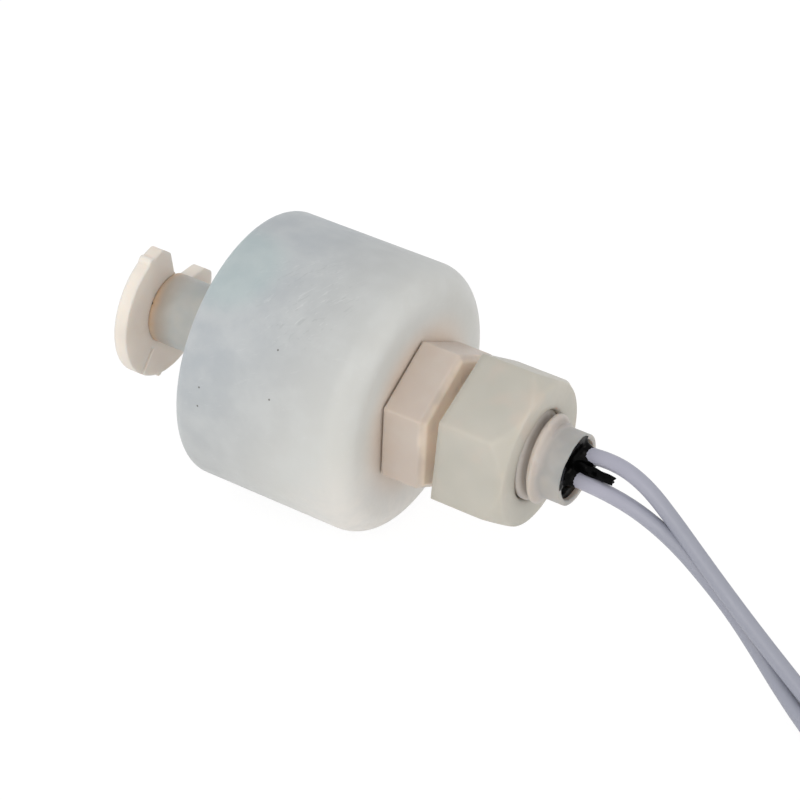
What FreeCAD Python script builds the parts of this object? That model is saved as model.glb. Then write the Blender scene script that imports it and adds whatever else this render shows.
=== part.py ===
import FreeCAD, Part
import math
import os
import Sketcher
from FreeCAD import Placement, Rotation, Vector

# Float level switch: a reed switch sealed in a plastic stem, worked by the magnet in a sliding float.
#
# The switch lies on its side as it rests on a bench. +X runs along the stem towards the cable end,
# +Z is up, and the origin is under the middle of the switch on the surface that it lies on.
# Stations along the stem are counted from the face of the hex flange that seats on the tank wall.
# All sizes are in millimetres, and all turns in degrees.

SIZES = {
    # The moulded stem, its hex flange and its threaded stud
    "stem_diameter": 6.5,
    "stem_bore": 4.4,
    "stem_nose": 1.5,
    "nose_round": 0.6,
    "nose_solid": 2.0,
    "flange_thickness": 4.1,
    "flange_flats": 12.0,
    "flange_turn": 26.0,
    "flange_front_chamfer": 0.5,
    "flange_back_chamfer": 0.1,
    "thread_diameter": 7.9,
    "thread_root": 6.4,
    "thread_length": 9.5,
    "thread_relief": 0.8,
    "thread_run_in": 0.75,
    "thread_run_out": 0.45,
    "stub_diameter": 6.4,
    "stub_length": 2.0,
    "cup_bore": 5.5,
    "cup_depth": 4.0,
    "cup_taper": 0.55,
    # The snap-on clip that keeps the float on
    "clip_diameter": 13.1,
    "clip_thickness": 1.3,
    "clip_play": 0.1,
    "clip_grip": 0.05,
    "clip_turn": 45.6,
    "neck_diameter": 5.0,
    "throat_width": 3.2,
    "throat_depth": 3.1,
    "mouth_width": 6.8,
    "mouth_depth": 4.5,
    "horn_round": 0.6,
    "slit_width": 0.4,
    "slit_start": 4.0,
    "gate_radius": 0.45,
    "gate_stand": 0.25,
    "gate_a_turn": 62.0,
    "gate_b_turn": 205.0,
    # The nut
    "nut_flats": 13.0,
    "nut_height": 6.5,
    "nut_gap": 1.4,
    "nut_turn": 20.6,
    "nut_clearance": 0.05,
    "nut_countersink": 0.5,
    "nut_front_chamfer": 0.45,
    "nut_back_chamfer": 0.2,
    # The float and the magnet in it
    "float_diameter": 24.6,
    "float_length": 17.0,
    "float_travel": 9.2,
    "float_gap": 0.1,
    "float_clearance": 0.3,
    "float_wall": 1.2,
    "hub_wall": 0.9,
    "float_front_round": 2.5,
    "float_back_round": 0.8,
    "cap_thickness": 1.2,
    "magnet_diameter": 15.0,
    "magnet_length": 4.0,
    "magnet_clearance": 0.05,
    # The reed switch and its wiring
    "wire_turn": 45.6,
    "glass_diameter": 2.0,
    "glass_wall": 0.2,
    "glass_length": 14.0,
    "seal_length": 2.0,
    "fire_round": 0.6,
    "reed_offset": 0.85,
    "reed_wire": 0.5,
    "blade_width": 1.2,
    "blade_thickness": 0.2,
    "blade_overlap": 1.2,
    "contact_gap": 0.15,
    "far_wire_length": 2.6,
    "reed_room": 1.2,
    "back_wire_offset": 1.3,
    "back_wire_diameter": 0.5,
    "back_wire_corner": 0.6,
    "sleeve_diameter": 0.95,
    "sleeve_clearance": 0.03,
    "sleeve_start": 1.2,
    "sleeve_setback": 1.5,
    "solder_diameter": 1.4,
    "solder_length": 2.0,
    "core_diameter": 0.6,
    "core_bare": 0.6,
    # The resin that seals the cable end
    "potting_recess": 0.6,
    "potting_depth": 10.5,
    # The two leads
    "lead_diameter": 1.4,
    "lead_a_offset": 1.45,
    "lead_b_offset": 0.7,
    "lead_hold": 2.0,
    "tail_a_turn": 80.0,
    "tail_b_turn": 65.0,
    "tail_a_radius": 7.675,
    "tail_b_radius": 9.125,
    "tip_diameter": 0.7,
    "tip_length": 4.0,
    # Their coil and its tie
    "coil_x": 60.75,
    "coil_y": -0.8,
    "coil_radius": 8.4,
    "coil_width": 5.8,
    "coil_height": 4.6,
    "coil_round": 1.2,
    "tie_turn": 20.0,
    "tie_width": 2.5,
    "tie_thickness": 0.3,
    # How far cutting tools stand out of what they cut
    "cut_margin": 1.0,
}

# The share of a cord's shorter run that the arc at its end takes.
ARC_SHARE = 0.45
# How close two lengths have to be to count as one.
TOUCH = 1e-4

# Each lead's way from the resin down to the bench and along it to the coil.
LEAD_A_ROUTE = [
    (22.65, 1.0, 13.45),
    (25.05, 0.95, 13.8),
    (27.45, 0.75, 13.8),
    (29.85, 0.35, 13.0),
    (32.45, -0.2, 11.3),
    (35.45, -0.95, 9.2),
    (38.65, -1.8, 7.0),
    (42.05, -2.8, 4.8),
    (45.45, -4.0, 2.8),
    (49.05, -5.4, 1.4),
    (52.65, -7.1, 0.72),
    (56.35, -8.9, 0.7),
]
LEAD_B_ROUTE = [
    (22.65, -0.5, 11.8),
    (25.25, -0.6, 11.75),
    (27.85, -0.7, 11.4),
    (30.45, -0.8, 10.5),
    (32.95, -0.9, 9.1),
    (35.45, -1.05, 7.2),
    (38.15, -1.4, 5.15),
    (41.05, -2.35, 3.1),
    (44.25, -4.0, 1.5),
    (47.65, -6.1, 0.75),
    (51.25, -8.4, 0.7),
    (55.05, -10.4, 0.7),
]

# Each lead's free end, off the top of the coil and down to the bench: how far ahead along the coil's
# tangent each point lies, and how high.
TAIL_A_RUN = [(2.0, 3.3), (6.3, 3.4), (10.2, 1.9), (13.8, 0.85), (17.0, 0.7)]
TAIL_B_RUN = [(1.0, 3.3), (4.8, 3.35), (8.6, 1.75), (12.2, 0.85), (15.5, 0.7)]

doc = FreeCAD.newDocument("float_level_switch")
sheet = doc.addObject("Spreadsheet::Sheet", "Sizes")
for row, (name, number) in enumerate(SIZES.items(), start=1):
    sheet.set(f"A{row}", name)
    sheet.set(f"B{row}", str(number))
    sheet.setAlias(f"B{row}", name)
doc.recompute()


class Size:
    """A number together with the sheet formula that gives it."""

    def __init__(self, number, formula):
        self.number = number
        self.formula = formula

    def __add__(self, other):
        other = as_size(other)
        return Size(self.number + other.number, f"({self.formula} + {other.formula})")

    def __sub__(self, other):
        other = as_size(other)
        return Size(self.number - other.number, f"({self.formula} - {other.formula})")

    def __mul__(self, factor):
        return Size(self.number * factor, f"({self.formula} * {factor})")

    def __truediv__(self, factor):
        return Size(self.number / factor, f"({self.formula} / {factor})")

    def __neg__(self):
        return Size(-self.number, f"(-1 * {self.formula})")


def as_size(value):
    return value if isinstance(value, Size) else Size(float(value), str(float(value)))


def size(name):
    return Size(float(sheet.get(name)), f"Sizes.{name}")


ZERO = as_size(0)

# Stations along the stem, from the flange's seat, and the radii that several pieces share.
AXIS_HEIGHT = size("float_diameter") / 2
STEM_R = size("stem_diameter") / 2
BORE_R = size("stem_bore") / 2
THREAD_R = size("thread_diameter") / 2
ROOT_R = size("thread_root") / 2
STUB_R = size("stub_diameter") / 2
CUP_R = size("cup_bore") / 2
NECK_R = size("neck_diameter") / 2
FLOAT_FRONT = -(size("flange_thickness") + size("float_gap"))
FLOAT_BACK = FLOAT_FRONT - size("float_length")
CLIP_FACE = FLOAT_BACK - size("float_travel")
GROOVE_END = CLIP_FACE - size("clip_thickness") - size("clip_play")
STEM_TIP = GROOVE_END - size("stem_nose")
STUB_END = size("thread_length") + size("stub_length")
BORE_END = CLIP_FACE + size("nose_solid")
HUB_BORE_R = STEM_R + size("float_clearance")
HUB_R = HUB_BORE_R + size("hub_wall")
FLOAT_R = size("float_diameter") / 2
MAGNET_BACK = FLOAT_FRONT - size("float_wall") - size("magnet_length")
FAR_WIRE_END = BORE_END + size("reed_room") + size("solder_length") / 2
GLASS_BACK = FAR_WIRE_END + size("far_wire_length")
REED_CENTRE = GLASS_BACK + size("glass_length") / 2
GLASS_FRONT = REED_CENTRE + size("glass_length") / 2
POTTING_FACE = STUB_END - size("potting_recess")
POTTING_BACK = POTTING_FACE - size("potting_depth")
LEAD_START = POTTING_FACE - size("lead_hold")
SOLDER_FRONT = LEAD_START - size("core_bare")
SOLDER_BACK = SOLDER_FRONT - size("solder_length")
SLEEVE_FRONT = SOLDER_BACK - size("sleeve_setback")
# The return wire stands against the end of the far reed's wire.
RETURN_BACK = FAR_WIRE_END - size("back_wire_diameter") / 2
# The origin is under the middle of the switch.
SEAT_X = -(STEM_TIP + STUB_END) / 2


def bind(thing, prop, value):
    thing.setExpression(prop, as_size(value).formula)


def along(length, turn, part):
    """The share of a length that lies along an axis, by the cosine or the sine of its turn."""
    share = getattr(math, part)(math.radians(turn.number))
    return Size(length.number * share, f"({length.formula} * {part}({turn.formula}))")


def place(thing, x=ZERO, across=ZERO, turn=None):
    """Puts a piece's own X axis on the stem's axis at station x, or beside it, turned about it."""
    angle = turn.number if turn else 0
    thing.Placement = Placement(Vector(), Rotation(Vector(1, 0, 0), angle))
    direction = turn.formula if turn else "0"
    thing.setExpression("Placement.Base.x", (SEAT_X + x).formula)
    thing.setExpression("Placement.Base.y", f"{across.formula} * cos({direction})")
    thing.setExpression("Placement.Base.z", f"{AXIS_HEIGHT.formula} + {across.formula} * sin({direction})")


def new_body(label):
    body = doc.addObject("PartDesign::Body", label)
    body.Label = label
    return body


def new_sketch(body, name, role):
    plane = next(f for f in body.Origin.OriginFeatures if f.Role == role)
    sketch = body.newObject("Sketcher::SketchObject", name)
    sketch.AttachmentSupport = (plane, [""])
    sketch.MapMode = "FlatFace"
    return sketch


def hold(sketch, edge, point, x, y):
    """Holds a point of a sketch at its two distances from the sketch's origin."""
    for kind, value, axis in (("DistanceX", x, -2), ("DistanceY", y, -1)):
        value = as_size(value)
        if value.formula == ZERO.formula:
            sketch.addConstraint(Sketcher.Constraint("PointOnObject", edge, point, axis))
        else:
            index = sketch.addConstraint(Sketcher.Constraint(kind, edge, point, value.number))
            bind(sketch, f"Constraints[{index}]", value)


def outline(sketch, corners):
    """A closed outline of straight edges."""
    points = [Vector(as_size(x).number, as_size(y).number, 0) for x, y in corners]
    first = sketch.GeometryCount
    count = len(points)
    for i in range(count):
        sketch.addGeometry(Part.LineSegment(points[i], points[(i + 1) % count]), False)
    for i in range(count):
        sketch.addConstraint(Sketcher.Constraint("Coincident", first + i, 2, first + (i + 1) % count, 1))
    for i, (x, y) in enumerate(corners):
        hold(sketch, first + i, 1, x, y)
    return sketch


def circle(sketch, x, y, radius):
    x, y, radius = as_size(x), as_size(y), as_size(radius)
    shape = Part.Circle(Vector(x.number, y.number, 0), Vector(0, 0, 1), radius.number)
    edge = sketch.addGeometry(shape, False)
    hold(sketch, edge, 3, x, y)
    index = sketch.addConstraint(Sketcher.Constraint("Radius", edge, radius.number))
    bind(sketch, f"Constraints[{index}]", radius)
    return sketch


def feature(body, kind, name, profile, **settings):
    """A PartDesign feature made from a sketch."""
    made = body.newObject(f"PartDesign::{kind}", name)
    made.Profile = profile
    for key, value in settings.items():
        if isinstance(value, Size):
            bind(made, key, value)
        else:
            setattr(made, key, value)
    profile.Visibility = False
    doc.recompute()
    return made


def turned(body, kind, name, corners, axis="H_Axis"):
    """A Revolution or Groove of an outline about the piece's own axis."""
    sketch = outline(new_sketch(body, f"{name}_profile", "XZ_Plane"), corners)
    return feature(body, kind, name, sketch, ReferenceAxis=(sketch, [axis]), Angle=360.0)


def dress(body, kind, name, base, test, amount):
    """A Fillet or Chamfer on the edges of the base that pass a test."""
    edges = [f"Edge{i}" for i, edge in enumerate(base.Shape.Edges, start=1) if test(edge)]
    made = body.newObject(f"PartDesign::{kind}", name)
    made.Base = (base, edges)
    bind(made, "Radius" if kind == "Fillet" else "Size", amount)
    doc.recompute()
    return made


def ring_at(x, radius):
    """Tests for a round edge about the piece's axis, at a station and a radius."""
    def test(edge):
        curve = edge.Curve
        if not isinstance(curve, Part.Circle):
            return False
        return abs(curve.Radius - radius.number) < TOUCH and abs(curve.Center.x - x.number) < TOUCH
    return test


def is_along(edge, direction):
    tangent = edge.tangentAt(edge.FirstParameter)
    return tangent.cross(direction).Length < TOUCH


def hexagon(body, name, flats, length, start, turn):
    """A hexagonal bar along the stem's axis, given by its width across flats."""
    plane = next(f for f in body.Origin.OriginFeatures if f.Role == "YZ_Plane")
    bar = body.newObject("PartDesign::AdditivePrism", name)
    bar.AttachmentSupport = (plane, [""])
    bar.MapMode = "FlatFace"
    bar.Polygon = 6
    bar.setExpression("Circumradius", f"{flats.formula} / 2 / cos(30)")
    bind(bar, "Height", length)
    bar.AttachmentOffset = Placement(Vector(), Rotation(Vector(0, 0, 1), turn.number))
    bind(bar, "AttachmentOffset.Base.z", start)
    doc.recompute()
    return bar


def corner_radius(flats):
    return Size(flats.number / 2 / math.cos(math.radians(30)), f"({flats.formula} / 2 / cos(30))")


def corner_cut(body, name, flats, face, inward, depth):
    """Turns a hexagon's corners back to a ball's surface, which leaves a round end face.

    The ball's centre lies on the axis, as deep as the hexagon's corners stand out, so that the cut
    leans at about 45 degrees."""
    deep = corner_radius(flats)
    inner, centre, end = flats / 2 - depth, face + deep * inward, face + deep / 2 * inward
    ball_r = math.hypot(deep.number, inner.number)
    outer = math.sqrt(ball_r ** 2 - (deep.number / 2) ** 2)
    near, far = Vector(face.number, inner.number, 0), Vector(end.number, outer, 0)
    rim = Vector(face.number, outer, 0)
    middle = Vector(centre.number, 0, 0)
    angles = [math.atan2(p.y, p.x - middle.x) for p in (near, far)]
    sketch = new_sketch(body, f"{name}_profile", "XZ_Plane")
    ball = Part.Circle(middle, Vector(0, 0, 1), ball_r)
    sketch.addGeometry(Part.ArcOfCircle(ball, min(angles), max(angles)), False)
    sketch.addGeometry(Part.LineSegment(far, rim), False)
    sketch.addGeometry(Part.LineSegment(rim, near), False)
    near_end = 1 if angles[0] < angles[1] else 2
    sketch.addConstraint(Sketcher.Constraint("Coincident", 0, 3 - near_end, 1, 1))
    sketch.addConstraint(Sketcher.Constraint("Coincident", 1, 2, 2, 1))
    sketch.addConstraint(Sketcher.Constraint("Coincident", 2, 2, 0, near_end))
    sketch.addConstraint(Sketcher.Constraint("Horizontal", 1))
    sketch.addConstraint(Sketcher.Constraint("Vertical", 2))
    hold(sketch, 0, 3, centre, 0)
    hold(sketch, 2, 2, face, inner)
    index = sketch.addConstraint(Sketcher.Constraint("DistanceX", 1, 1, end.number))
    bind(sketch, f"Constraints[{index}]", end)
    return feature(body, "Groove", name, sketch, ReferenceAxis=(sketch, ["H_Axis"]), Angle=360.0)


def make_stem_body():
    body = new_body("stem_body")
    relief = size("thread_relief")
    form = turned(body, "Revolution", "Form", [
        (STEM_TIP, 0),
        (STEM_TIP, STEM_R),
        (GROOVE_END, STEM_R),
        (GROOVE_END, NECK_R),
        (CLIP_FACE, NECK_R),
        (CLIP_FACE, STEM_R),
        (-size("flange_thickness") / 2, STEM_R),
        (-size("flange_thickness") / 2, ROOT_R),
        (relief, ROOT_R),
        (relief + size("thread_run_in"), THREAD_R),
        (size("thread_length") - size("thread_run_out"), THREAD_R),
        (size("thread_length"), STUB_R),
        (STUB_END, STUB_R),
        (STUB_END, 0),
    ])
    dress(body, "Fillet", "NoseRound", form, ring_at(STEM_TIP, STEM_R), size("nose_round"))
    flats, thick = size("flange_flats"), size("flange_thickness")
    hexagon(body, "Flange", flats, thick, -thick, size("flange_turn"))
    corner_cut(body, "FlangeFront", flats, ZERO, -1, size("flange_front_chamfer"))
    corner_cut(body, "FlangeBack", flats, -thick, 1, size("flange_back_chamfer"))
    turned(body, "Groove", "Bore", [
        (STUB_END, 0),
        (STUB_END, CUP_R),
        (STUB_END - size("cup_depth"), CUP_R),
        (STUB_END - size("cup_depth") - size("cup_taper"), BORE_R),
        (BORE_END, BORE_R),
        (BORE_END, 0),
    ])
    place(body)
    return body


def make_retaining_clip():
    body = new_body("retaining_clip")
    rim_r, thick = size("clip_diameter") / 2, size("clip_thickness")
    disc = circle(new_sketch(body, "DiscOutline", "YZ_Plane"), 0, 0, rim_r)
    feature(body, "Pad", "Disc", disc, Length=thick)
    gates = new_sketch(body, "GateOutline", "YZ_Plane")
    stand = rim_r + size("gate_stand") - size("gate_radius")
    for turn in (size("gate_a_turn"), size("gate_b_turn")):
        circle(gates, along(stand, turn, "cos"), along(stand, turn, "sin"), size("gate_radius"))
    feature(body, "Pad", "Gates", gates, Length=thick)
    throat, mouth = size("throat_width") / 2, size("mouth_width") / 2
    clear = rim_r + size("cut_margin")
    opening = outline(new_sketch(body, "MouthOutline", "YZ_Plane"), [
        (0, -throat),
        (size("throat_depth"), -throat),
        (size("mouth_depth"), -mouth),
        (size("mouth_depth"), -clear),
        (clear, -clear),
        (clear, clear),
        (size("mouth_depth"), clear),
        (size("mouth_depth"), mouth),
        (size("throat_depth"), throat),
        (0, throat),
    ])
    mouth_cut = feature(body, "Pocket", "Mouth", opening, Type="ThroughAll", Reversed=True)

    def horn(edge):
        middle = edge.CenterOfMass
        upright = is_along(edge, Vector(1, 0, 0))
        return upright and middle.y > size("mouth_depth").number - TOUCH

    dress(body, "Fillet", "HornRound", mouth_cut, horn, size("horn_round"))
    seat = circle(new_sketch(body, "SeatOutline", "YZ_Plane"), 0, 0, NECK_R + size("clip_grip"))
    feature(body, "Pocket", "Seat", seat, Type="ThroughAll", Reversed=True)
    half = size("slit_width") / 2
    slit = outline(new_sketch(body, "SlitOutline", "YZ_Plane"), [
        (-clear, -half),
        (-size("slit_start"), -half),
        (-size("slit_start"), half),
        (-clear, half),
    ])
    feature(body, "Pocket", "Slit", slit, Type="ThroughAll", Reversed=True)
    place(body, CLIP_FACE - thick, turn=size("clip_turn"))
    return body


def make_hex_nut():
    body = new_body("hex_nut")
    flats, height = size("nut_flats"), size("nut_height")
    hexagon(body, "Bar", flats, height, ZERO, size("nut_turn"))
    corner_cut(body, "FrontChamfer", flats, height, -1, size("nut_front_chamfer"))
    corner_cut(body, "BackChamfer", flats, ZERO, 1, size("nut_back_chamfer"))
    bore_r = THREAD_R + size("nut_clearance")
    hole = circle(new_sketch(body, "BoreOutline", "YZ_Plane"), 0, 0, bore_r)
    bore = feature(body, "Pocket", "Bore", hole, Type="ThroughAll", Reversed=True)
    front, back = ring_at(height, bore_r), ring_at(ZERO, bore_r)
    dress(body, "Chamfer", "Countersinks", bore, lambda e: front(e) or back(e), size("nut_countersink"))
    place(body, size("nut_gap"))
    return body


def make_float_shell():
    body = new_body("float_shell")
    wall, length = size("float_wall"), size("float_length")
    form = turned(body, "Revolution", "Form", [
        (0, HUB_BORE_R),
        (0, FLOAT_R),
        (-length, FLOAT_R),
        (-length, FLOAT_R - wall),
        (-wall, FLOAT_R - wall),
        (-wall, HUB_R),
        (-length, HUB_R),
        (-length, HUB_BORE_R),
    ])
    front = dress(body, "Fillet", "FrontRound", form, ring_at(ZERO, FLOAT_R), size("float_front_round"))
    inner = size("float_front_round") - wall
    inside = ring_at(-wall, FLOAT_R - wall)
    hollow = dress(body, "Chamfer", "InnerCorner", front, inside, inner)
    dress(body, "Fillet", "BackRound", hollow, ring_at(-length, FLOAT_R), size("float_back_round"))
    place(body, FLOAT_FRONT)
    return body


def make_float_end_cap():
    body = new_body("float_end_cap")
    thick, rim_r = size("cap_thickness"), FLOAT_R - size("float_wall")
    turned(body, "Revolution", "Form", [(0, HUB_R), (0, rim_r), (thick, rim_r), (thick, HUB_R)])
    place(body, FLOAT_BACK)
    return body


def make_float_magnet():
    body = new_body("float_magnet")
    inner_r, length = HUB_R + size("magnet_clearance"), size("magnet_length")
    outer_r = size("magnet_diameter") / 2
    turned(body, "Revolution", "Form", [(0, inner_r), (0, outer_r), (length, outer_r), (length, inner_r)])
    place(body, MAGNET_BACK)
    return body


def make_reed_glass():
    body = new_body("reed_glass")
    glass_r, length, seal = size("glass_diameter") / 2, size("glass_length"), size("seal_length")
    wire_r, hollow_r = size("reed_wire") / 2, glass_r - size("glass_wall")
    ends = turned(body, "Revolution", "Capsule", [
        (0, wire_r),
        (0, glass_r),
        (length, glass_r),
        (length, wire_r),
        (length - seal, wire_r),
        (length - seal, hollow_r),
        (seal, hollow_r),
        (seal, wire_r),
    ])
    front, back = ring_at(length, glass_r), ring_at(ZERO, glass_r)
    dress(body, "Fillet", "FireRound", ends, lambda e: front(e) or back(e), size("fire_round"))
    place(body, GLASS_BACK, size("reed_offset"), size("wire_turn"))
    return body


def make_reed_blade(label, side):
    """One reed: round where the glass holds it and outside, flattened to a blade inside.

    side is 1 for the reed towards the cable and -1 for the one towards the stem's tip."""
    body = new_body(label)
    seal, reach = size("seal_length"), size("glass_length") / 2
    outside = SOLDER_FRONT - GLASS_FRONT if side > 0 else size("far_wire_length")
    near, far = reach - seal, reach + outside
    start, length = (near, far - near) if side > 0 else (-far, far - near)
    wire = circle(new_sketch(body, "WireOutline", "YZ_Plane"), 0, 0, size("reed_wire") / 2)
    wire.setExpression("AttachmentOffset.Base.z", start.formula)
    feature(body, "Pad", "Wire", wire, Length=length)
    low, high = size("contact_gap") / 2, size("contact_gap") / 2 + size("blade_thickness")
    if side < 0:
        low, high = -high, -low
    half = size("blade_overlap") / 2
    inner, outer = (-half, near + seal / 2) if side > 0 else (-(near + seal / 2), half)
    blade = outline(new_sketch(body, "BladeOutline", "XZ_Plane"), [
        (inner, low),
        (outer, low),
        (outer, high),
        (inner, high),
    ])
    width = size("blade_width")
    feature(body, "Pad", "Blade", blade, Length=width, Midplane=True)
    place(body, REED_CENTRE, size("reed_offset"), size("wire_turn"))
    return body


def make_return_wire():
    """The bare wire that comes back beside the capsule from its far end."""
    body = new_body("return_wire")
    corner, run = size("back_wire_corner"), SOLDER_FRONT - RETURN_BACK
    rise = size("back_wire_offset") + size("reed_offset")
    path = new_sketch(body, "Path", "XY_Plane")
    centre = Vector(corner.number, corner.number, 0)
    bend = Part.Circle(centre, Vector(0, 0, 1), corner.number)
    path.addGeometry(Part.LineSegment(Vector(run.number, 0, 0), Vector(corner.number, 0, 0)), False)
    path.addGeometry(Part.ArcOfCircle(bend, math.pi, 1.5 * math.pi), False)
    path.addGeometry(Part.LineSegment(Vector(0, corner.number, 0), Vector(0, rise.number, 0)), False)
    path.addConstraint(Sketcher.Constraint("Tangent", 0, 2, 1, 2))
    path.addConstraint(Sketcher.Constraint("Tangent", 1, 1, 2, 1))
    hold(path, 0, 1, run, 0)
    path.addConstraint(Sketcher.Constraint("PointOnObject", 0, 2, -1))
    hold(path, 1, 3, corner, corner)
    hold(path, 2, 2, 0, rise)
    section = circle(new_sketch(body, "Section", "YZ_Plane"), 0, 0, size("back_wire_diameter") / 2)
    section.setExpression("AttachmentOffset.Base.z", run.formula)
    doc.recompute()
    pipe = body.newObject("PartDesign::AdditivePipe", "Wire")
    pipe.Profile = section
    pipe.Spine = (path, [])
    doc.recompute()
    place(body, RETURN_BACK, -size("back_wire_offset"), size("wire_turn"))
    return body


def make_return_sleeve():
    """The insulation of the return wire, which keeps it off the capsule's wires."""
    body = new_body("return_sleeve")
    inner_r = size("back_wire_diameter") / 2 + size("sleeve_clearance")
    outer_r = size("sleeve_diameter") / 2
    start = RETURN_BACK + size("sleeve_start")
    length = SLEEVE_FRONT - start
    turned(body, "Revolution", "Form", [(0, inner_r), (0, outer_r), (length, outer_r), (length, inner_r)])
    place(body, start, -size("back_wire_offset"), size("wire_turn"))
    return body


def make_rod(label, diameter, start, end, across):
    """A round piece along the stem, between two stations."""
    rod = doc.addObject("Part::Cylinder", label)
    rod.Label = label
    bind(rod, "Radius", diameter / 2)
    bind(rod, "Height", end - start)
    place(rod, start, across, size("wire_turn"))
    upright = Rotation(Vector(0, 0, 1), Vector(1, 0, 0))
    rod.Placement = Placement(rod.Placement.Base, upright)
    return rod


def make_solder(label, start, length, across, wires):
    """A joint of solder that has flowed round the wires in it."""
    form = make_rod(f"{label}_form", size("solder_diameter"), start, start + length, across)
    return cut_round(label, form, wires)


def cut_round(label, form, inside):
    """The form without the room that other pieces take in it."""
    made = doc.addObject("Part::Cut", label)
    made.Label = label
    made.Base = form
    made.Tool = inside[0]
    if len(inside) > 1:
        made.Tool = doc.addObject("Part::MultiFuse", f"{label}_hollows")
        made.Tool.Shapes = inside
    doc.recompute()
    return made


def make_potting(inside):
    """The resin, from its own face in the cup back past the solder joints."""
    body = new_body("potting_form")
    step = STUB_END - size("cup_depth")
    turned(body, "Revolution", "Form", [
        (POTTING_BACK, 0),
        (POTTING_BACK, BORE_R),
        (step - size("cup_taper"), BORE_R),
        (step, CUP_R),
        (POTTING_FACE, CUP_R),
        (POTTING_FACE, 0),
    ])
    place(body)
    return cut_round("potting", body, inside)


def lead_exit(across):
    """The point inside the resin where a lead's insulation starts."""
    angle = math.radians(size("wire_turn").number)
    x = (SEAT_X + LEAD_START).number
    return (x, across.number * math.cos(angle), AXIS_HEIGHT.number + across.number * math.sin(angle))


def cord_path(route, label):
    """Straight runs joined by the largest tangent arcs that the runs allow."""
    points = [Vector(*p) for p in route]
    edges, start, radii = [], points[0], []
    for before, point, after in zip(points, points[1:], points[2:]):
        back, ahead = before - point, after - point
        half_turn = (math.pi - back.getAngle(ahead)) / 2
        reach = ARC_SHARE * min(back.Length, ahead.Length)
        radii.append(reach / math.tan(half_turn))
        back.normalize()
        ahead.normalize()
        first, last = point + back * reach, point + ahead * reach
        inward = back + ahead
        inward.normalize()
        middle = point + inward * (radii[-1] / math.cos(half_turn) - radii[-1])
        edges.append(Part.LineSegment(start, first).toShape())
        edges.append(Part.Arc(first, middle, last).toShape())
        start = last
    edges.append(Part.LineSegment(start, points[-1]).toShape())
    print(label, "bend radii", [round(r, 1) for r in radii])
    return Part.Wire(edges)


def sweep(path, radius, label):
    """A round tube along a path."""
    edge = path.Edges[0]
    start, direction = edge.valueAt(edge.FirstParameter), edge.tangentAt(edge.FirstParameter)
    section = Part.Wire([Part.Circle(start, direction, radius).toShape()])
    tube = path.makePipeShell([section], True, False)
    expected = math.pi * radius ** 2 * path.Length
    print(f"{label} length {path.Length:.1f} volume {tube.Volume:.2f} expected {expected:.2f}")
    return tube


def off_coil(side, ahead, height):
    """A point of a free end, ahead along the tangent where the end leaves the coil."""
    turn = math.radians(size(f"tail_{side}_turn").number)
    radius = size(f"tail_{side}_radius").number
    x = size("coil_x").number + radius * math.cos(turn) - ahead * math.sin(turn)
    y = size("coil_y").number + radius * math.sin(turn) + ahead * math.cos(turn)
    return (x, y, height)


def make_lead(side, across, route, run):
    """A lead outside its coil: the stretch up to the coil, and the free end past it."""
    label = f"lead_{side}"
    radius = size("lead_diameter").number / 2
    path = cord_path([lead_exit(across)] + route, label)
    tail = cord_path([off_coil(side, ahead, height) for ahead, height in run], f"{label} free end")
    lead = doc.addObject("Part::Feature", label)
    lead.Label = label
    lead.Shape = Part.Compound([sweep(path, radius, label), sweep(tail, radius, f"{label} free end")])
    return lead


def make_lead_tip(side, run):
    """The bared and tinned end of a lead's conductor."""
    tip = doc.addObject("Part::Cylinder", f"lead_{side}_tip")
    tip.Label = f"lead_{side}_tip"
    bind(tip, "Radius", size("tip_diameter") / 2)
    bind(tip, "Height", size("tip_length"))
    before, start = (Vector(*off_coil(side, ahead, height)) for ahead, height in run[-2:])
    tip.Placement = Placement(start, Rotation(Vector(0, 0, 1), start - before))
    return tip


def at_coil(body):
    turn = Rotation(Vector(0, 0, 1), size("tie_turn").number)
    body.Placement = Placement(Vector(), turn)
    bind(body, "Placement.Base.x", size("coil_x"))
    bind(body, "Placement.Base.y", size("coil_y"))
    return body


def make_coil_tie():
    """A flat band round the coil's turns; its underside lies on the bench."""
    body = new_body("coil_tie")
    thick, height = size("tie_thickness"), size("coil_height")
    inner, outer = size("coil_radius") - size("coil_width") / 2, size("coil_radius") + size("coil_width") / 2
    sketch = outline(new_sketch(body, "BandOutline", "XZ_Plane"), [
        (inner - thick, 0),
        (outer + thick, 0),
        (outer + thick, height + thick),
        (inner - thick, height + thick),
    ])
    outline(sketch, [(inner, thick), (outer, thick), (outer, height), (inner, height)])
    band = feature(body, "Pad", "Band", sketch, Length=size("tie_width"), Midplane=True)

    def corner(edge, low, high):
        middle = edge.CenterOfMass
        wide = abs(middle.x - low) < TOUCH or abs(middle.x - high) < TOUCH
        return is_along(edge, Vector(0, 1, 0)) and wide

    inside = dress(body, "Fillet", "InsideRound", band,
                   lambda e: corner(e, inner.number, outer.number), size("coil_round"))
    dress(body, "Fillet", "OutsideRound", inside,
          lambda e: corner(e, (inner - thick).number, (outer + thick).number),
          size("coil_round") + thick)
    return at_coil(body)


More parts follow.
